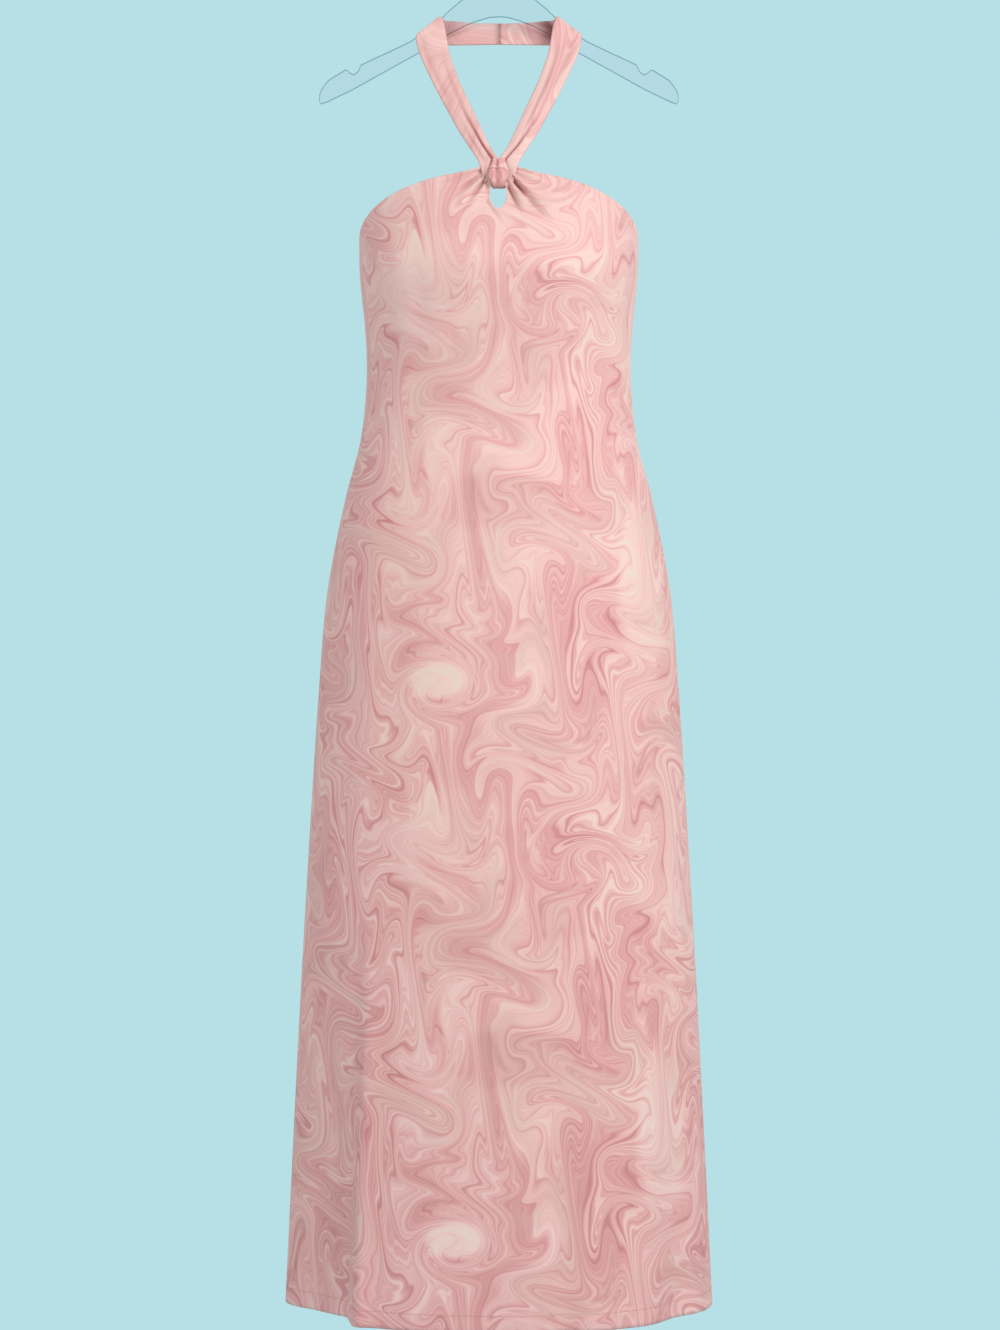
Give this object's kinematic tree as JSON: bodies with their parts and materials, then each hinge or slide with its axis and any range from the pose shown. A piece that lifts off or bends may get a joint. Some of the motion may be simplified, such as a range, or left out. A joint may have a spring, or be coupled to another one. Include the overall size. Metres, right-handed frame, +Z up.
{
  "type": "halter dress on hanger",
  "caption": "Long sleeveless halter dress with a gathered keyhole neckline, filled out and hanging by its neck straps on a clear hanger.",
  "frame": {"origin": "inner top of the hanger's hook, where it rests on a rod", "axes": "+Z up, +X to the right as the dress's front is seen, +Y from the front to the back"},
  "size_m": [0.4436, 0.2627, 1.4284],
  "materials": {
    "front_cloth": "soft matt woven cloth with a pink and cream marbled print",
    "back_cloth": "soft matt woven cloth with a pink and cream marbled print",
    "loop_cloth": "the same cloth, folded into a band",
    "strap_cloth": "the same cloth, folded into straps",
    "clear_plastic": "clear polished plastic",
    "bright_wire": "bright plated wire"
  },
  "bodies": {
    "root": {"front_panel": "front_cloth", "back_panel": "back_cloth", "centre_loop": "loop_cloth", "neck_strap_left": "strap_cloth", "neck_strap_right": "strap_cloth", "hanger_plate": "clear_plastic", "hanger_hook": "bright_wire"}
  },
  "joints": []
}
